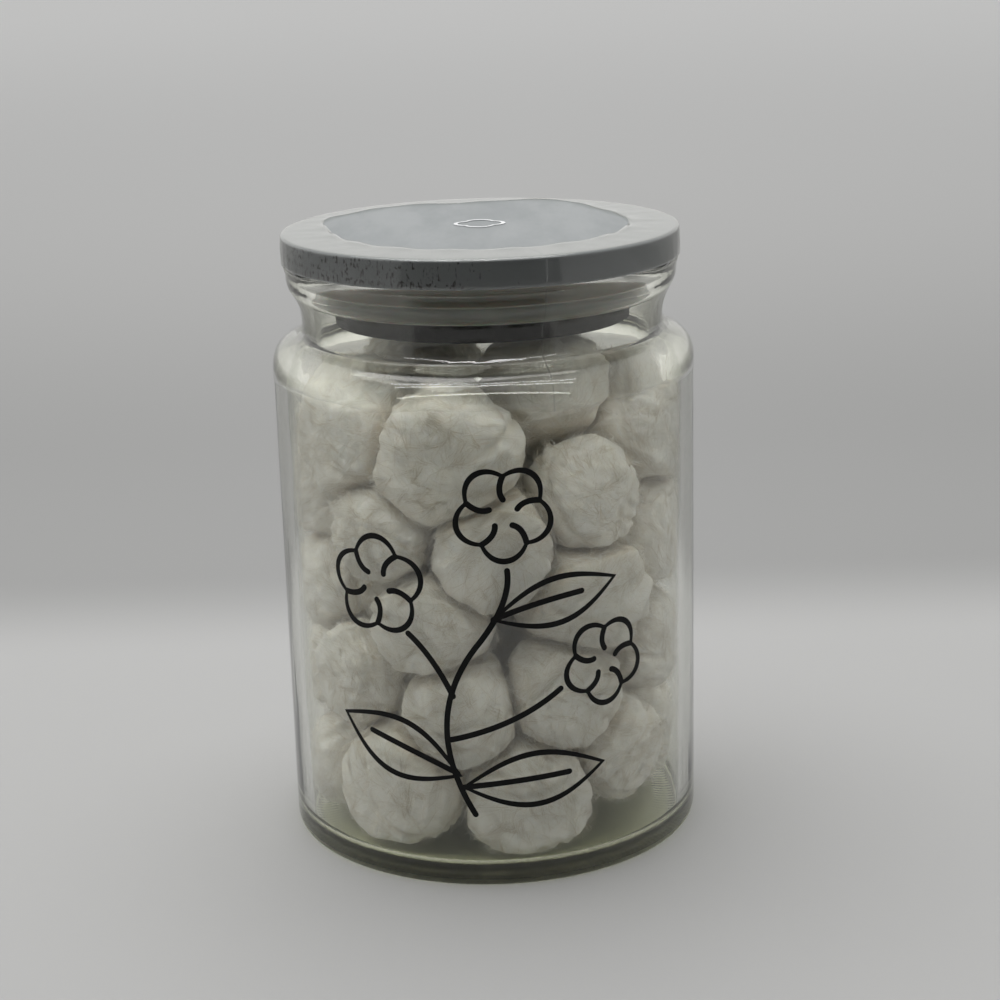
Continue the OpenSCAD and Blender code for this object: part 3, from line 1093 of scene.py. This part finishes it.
        ways /= np.linalg.norm(ways, axis=1, keepdims=True)
        arch = np.sqrt(np.clip(along * 1.4, 0.0, 1.0))
        height = self.mapped_reach(ways, jar) + 0.04 * MM + lift[number] * arch
        half = width[number] * (1.0 - 0.5 * along) * (side * 2 - 1)
        places = self.centre + ways * height[:, None] + across[number] * half[:, None]
        room = jar.room_at(places[:, 2]) - 0.12 * MM
        out = np.hypot(places[:, 0], places[:, 1])
        places[:, :2] *= np.minimum(1.0, room / np.maximum(out, 1e-9))[:, None]
        places[:, 2] = np.clip(places[:, 2], (jar.floor_z + 0.2) * MM, 129.8 * MM)
        piece.data.vertices.foreach_set("co", places.astype(np.float32).ravel())
        for extra in materials[1:]:
            piece.data.materials.append(extra)
        quads = number.reshape(-1)[first_corners(piece.data)]
        piece.data.polygons.foreach_set("material_index", shade[quads].astype(np.int32))
        piece.data.update()
        return piece


@dataclass
class CottonFilling:
    """All the cotton balls in the jar."""

    jar: GlassJar
    first_seed: int = 40

    def build(self) -> list[bpy.types.Object]:
        """Builds every ball and returns the objects."""
        balls = []
        for node in sorted(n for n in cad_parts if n.startswith("cotton_ball")):
            low, high = (np.array(c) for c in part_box(node))
            radius = float((high - low).max()) / 2.0
            balls.append(CottonBall(node, (low + high) / 2.0, radius, self.first_seed + len(balls)))
        cotton = CottonFinish().material()
        wisp = [finish.material() for finish in WISP_FINISHES]
        for ball in balls:
            ball.squeeze(balls)
        return [part for ball in balls for part in (ball.skin(self.jar, cotton), ball.wisps(self.jar, wisp))]


# ---- drawn pieces


@dataclass
class Drawings:
    """The stuck-on sprig and the small mark on the lid, which keep their CAD shapes."""

    sprig: tuple[str, ...] = ("sprig_stem", "sprig_boll_1", "sprig_boll_2", "sprig_boll_3")

    def dress(self) -> None:
        """Gives the drawn pieces their finishes."""
        # The ink's second black is a paler, worn tone; no light is painted in it.
        black, wear_and_top_light = (0.004, 0.004, 0.004), (0.007, 0.007, 0.007)
        cut = PlainFinish("black_film", black, wear_and_top_light, 0.42, 1200.0, 0.05, shine=0.15).material()
        for node in self.sprig:
            keep_node(node, cut)
        white = PlainFinish("white_print", (0.86, 0.87, 0.88), (0.78, 0.79, 0.80), 0.5, 1500.0, 0.1)
        keep_node("lid_mark", white.material())


# ---- studio


@dataclass
class Studio:
    """Camera, lamps, sky and floor."""

    eye: Place = (0.0, -0.5158, 0.2310)
    pitch: float = 16.13
    yaw: float = 0.35
    roll: float = -1.58
    lens: float = 76.2
    above: float = 0.62
    behind: float = 0.88
    beside: float = 0.36
    person: float = 0.02
    bounces: int = 24

    def camera(self) -> None:
        """Makes the camera."""
        data = bpy.data.cameras.new("camera")
        data.lens, data.sensor_width = self.lens, 36.0
        data.clip_start = 0.01
        pitch, yaw, roll = (math.radians(a) for a in (self.pitch, self.yaw, self.roll))
        ahead = Vector((math.sin(yaw) * math.cos(pitch), math.cos(yaw) * math.cos(pitch), -math.sin(pitch)))
        right = Vector((math.cos(yaw), -math.sin(yaw), 0.0))
        up = right.cross(ahead)
        across = right * math.cos(roll) + up * math.sin(roll)
        upward = up * math.cos(roll) - right * math.sin(roll)
        camera = bpy.data.objects.new("camera", data)
        turn = Matrix((across, upward, -ahead)).transposed().to_4x4()
        camera.matrix_world = Matrix.Translation(self.eye) @ turn
        bpy.context.scene.collection.objects.link(camera)
        bpy.context.scene.camera = camera

    def lamp(
        self, name: str, at: Place, size: tuple[float, float], power: float, colour: Colour = (1.0, 1.0, 1.0)
    ) -> bpy.types.Object:
        """Makes a rectangular lamp that faces the jar.

        Args:
            name: the lamp's name.
            at: its place in metres.
            size: its width and height in metres.
            power: its power in watts.
            colour: its colour.

        Returns:
            The lamp's object.
        """
        data = bpy.data.lights.new(name, "AREA")
        data.shape, data.size, data.size_y = "RECTANGLE", size[0], size[1]
        data.energy, data.color = power, colour
        lamp = bpy.data.objects.new(name, data)
        lamp.location = at
        lamp.rotation_euler = (Vector(at) - Vector((0.0, 0.0, 0.08))).to_track_quat("Z", "Y").to_euler()
        bpy.context.scene.collection.objects.link(lamp)
        return lamp

    def sky(self) -> None:
        """Makes the room's light: bright above and behind, dimmer beside, dark where someone stands."""
        world = bpy.data.worlds.new("room")
        world.use_nodes = True
        bpy.context.scene.world = world
        world.node_tree.nodes.clear()
        g = Graph(world.node_tree)
        way = g.add("ShaderNodeTexCoord").outputs["Generated"]
        across, ahead, up = g.axes(way)
        round_room = g.span(ahead, -0.6, 0.7, self.beside, self.behind)
        light = g.add("ShaderNodeMix", {0: g.span(up, 0.35, 0.85), 2: round_room, 3: self.above}).outputs[0]
        front = g.maths("SUBTRACT", g.maths("MULTIPLY", ahead, -1.0), g.maths("ABSOLUTE", across))
        facing = g.span(front, 0.0, 0.05)
        unseen = g.maths("SUBTRACT", 1.0, g.add("ShaderNodeLightPath").outputs["Is Camera Ray"])
        person = g.maths("MULTIPLY", g.maths("MULTIPLY", facing, g.span(up, 0.62, 0.50)), unseen)
        light = g.add("ShaderNodeMix", {0: person, 2: light, 3: self.person}).outputs[0]
        blue = g.maths("MULTIPLY", light, 0.99)
        shade = g.add("ShaderNodeCombineColor", {0: light, 1: light, 2: blue}).outputs[0]
        back = g.add("ShaderNodeBackground", {"Color": shade, "Strength": 1.0})
        out = g.add("ShaderNodeOutputWorld")
        g.put(out.inputs["Surface"], back.outputs[0])

    def floor(self) -> None:
        """Makes the pale floor."""
        bm = bmesh.new()
        bmesh.ops.create_grid(bm, x_segments=1, y_segments=1, size=12.0)
        mesh = bpy.data.meshes.new("floor")
        bm.to_mesh(mesh)
        bm.free()
        mesh.materials.append(FloorFinish().material())
        floor = bpy.data.objects.new("floor", mesh)
        bpy.context.scene.collection.objects.link(floor)

    def tone(self) -> None:
        """Sets how light is traced through the glass and shown."""
        scene = bpy.context.scene
        scene.view_settings.view_transform = "Standard"
        scene.cycles.max_bounces = self.bounces
        scene.cycles.transmission_bounces = self.bounces
        scene.cycles.transparent_max_bounces = 2 * self.bounces
        scene.cycles.diffuse_bounces = 6

    def build(self) -> None:
        """Makes the floor, the sky and the lamps."""
        self.floor()
        self.sky()
        self.lamp("overhead", (-0.12, 0.18, 1.15), (1.1, 0.9), 8.0, (1.0, 0.995, 0.98))
        self.lamp("tube", (0.0, -0.45, 0.95), (1.5, 0.05), 3.0).visible_diffuse = False
        self.tone()


def main() -> None:
    """Builds the jar and everything round it."""
    logging.basicConfig(level=logging.INFO, format="%(name)s: %(message)s")
    studio = Studio()
    studio.camera()
    jar = GlassJar()
    pieces = [jar.build()]
    pieces += WoodenLid().build()
    pieces.append(SealRing().build())
    pieces += ShrinkBand().build()
    pieces += CottonFilling(jar).build()
    Drawings().dress()
    for piece in pieces:
        LOG.info("%s: %d faces", piece.name, len(piece.data.polygons))
    studio.build()


if __name__ == "__main__":
    main()
